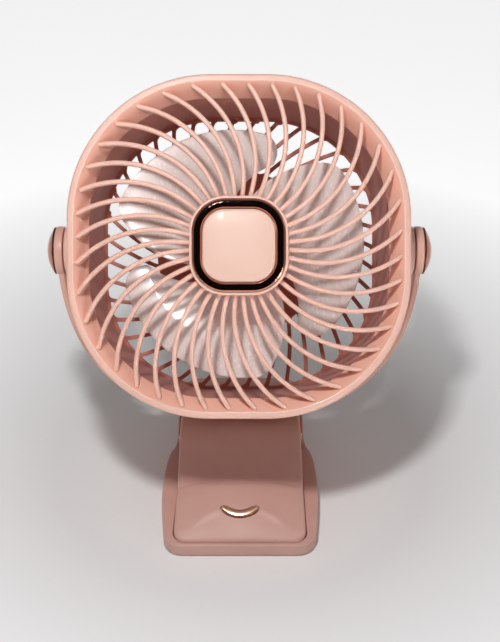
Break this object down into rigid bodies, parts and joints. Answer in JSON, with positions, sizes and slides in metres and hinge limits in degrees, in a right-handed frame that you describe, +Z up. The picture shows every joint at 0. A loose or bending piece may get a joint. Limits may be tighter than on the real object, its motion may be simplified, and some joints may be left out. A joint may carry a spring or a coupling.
{
  "type": "clip fan",
  "caption": "Rechargeable clip fan: square-round head with a spiral grille, tilting in a swivelling yoke on a sprung clip that stands on its lower jaw.",
  "frame": {"origin": "on the table, under the yoke's swivel axis, at the underside of the base pad", "axes": "+Z up, the head faces -Y and looks 35 degrees up at rest, +X to the right of the person facing it"},
  "size_m": [0.1646, 0.1204, 0.1903],
  "materials": {
    "soft_pink_shell": "satin moulded, pale pink",
    "deep_pink_shell": "glossy moulded, deeper pink",
    "body_pink_shell": "satin moulded, pink",
    "milky_blade": "glossy translucent, milky",
    "rose_chrome": "polished plated, rose gold",
    "pale_gold_chrome": "polished plated, pale gold",
    "zinc_steel": "zinc plated",
    "grip_rubber": "matt, fine grained",
    "circuit_board": "solder mask",
    "cell_wrap": "foil pouch",
    "clear_lens": "frosted light pipe"
  },
  "bodies": {
    "base": {"base_jaw": "body_pink_shell", "base_pad": "grip_rubber", "lower_grip_pad": "grip_rubber", "torsion_spring": "zinc_steel"},
    "clip_body": {"clip_housing": "body_pink_shell", "clip_floor": "deep_pink_shell", "tail_plate": "deep_pink_shell", "upper_grip_pad": "grip_rubber", "crescent_trim": "pale_gold_chrome", "hinge_cap_left": "rose_chrome", "hinge_cap_right": "rose_chrome", "hinge_pin": "zinc_steel", "battery_pack": "cell_wrap", "charge_board": "circuit_board", "charge_port": "zinc_steel"},
    "yoke": {"yoke": "body_pink_shell", "pivot_cap_left": "rose_chrome", "pivot_cap_right": "rose_chrome", "pivot_washer_left": "zinc_steel", "pivot_washer_right": "zinc_steel", "swivel_washer": "zinc_steel", "swivel_screw": "zinc_steel"},
    "head": {"front_grille": "soft_pink_shell", "hub_trim_ring": "rose_chrome", "hub_cap": "soft_pink_shell", "rear_shell": "deep_pink_shell", "motor_can": "zinc_steel", "rear_cover": "soft_pink_shell", "control_board": "circuit_board", "indicator_lens": "clear_lens", "cover_screw_1": "zinc_steel", "cover_screw_2": "zinc_steel", "cover_screw_3": "zinc_steel", "pivot_screw_left": "zinc_steel", "pivot_screw_right": "zinc_steel"},
    "impeller": {"impeller": "milky_blade", "motor_shaft": "zinc_steel", "impeller_nut": "zinc_steel"},
    "button": {"power_button": "rose_chrome"}
  },
  "joints": [
    {"name": "jaw_hinge", "type": "hinge", "parent": "base", "child": "clip_body", "pos_m": [0, 0.0025, 0.014], "axis": [-1, 0, 0], "range_deg": [0, 24], "stiffness_Nm_per_rad": 0.3, "springref_deg": -28.65, "deforming": ["torsion_spring"]},
    {"name": "yoke_swivel", "type": "hinge", "parent": "clip_body", "child": "yoke", "pos_m": [0, 0, 0.027], "axis": [0, 0, 1], "range_deg": [-175, 175]},
    {"name": "head_tilt", "type": "hinge", "parent": "yoke", "child": "head", "pos_m": [0, 0, 0.118], "axis": [-1, 0, 0], "range_deg": [-125, 55]},
    {"name": "fan_spin", "type": "hinge", "parent": "head", "child": "impeller", "pos_m": [0, 0, 0.118], "axis": [0, -0.8192, 0.5736], "continuous": true},
    {"name": "button_press", "type": "slide", "parent": "head", "child": "button", "axis": [0, -0.8192, 0.5736], "range_m": [0, 0.001], "stiffness_N_per_m": 300, "springref_m": -0.0005}
  ]
}
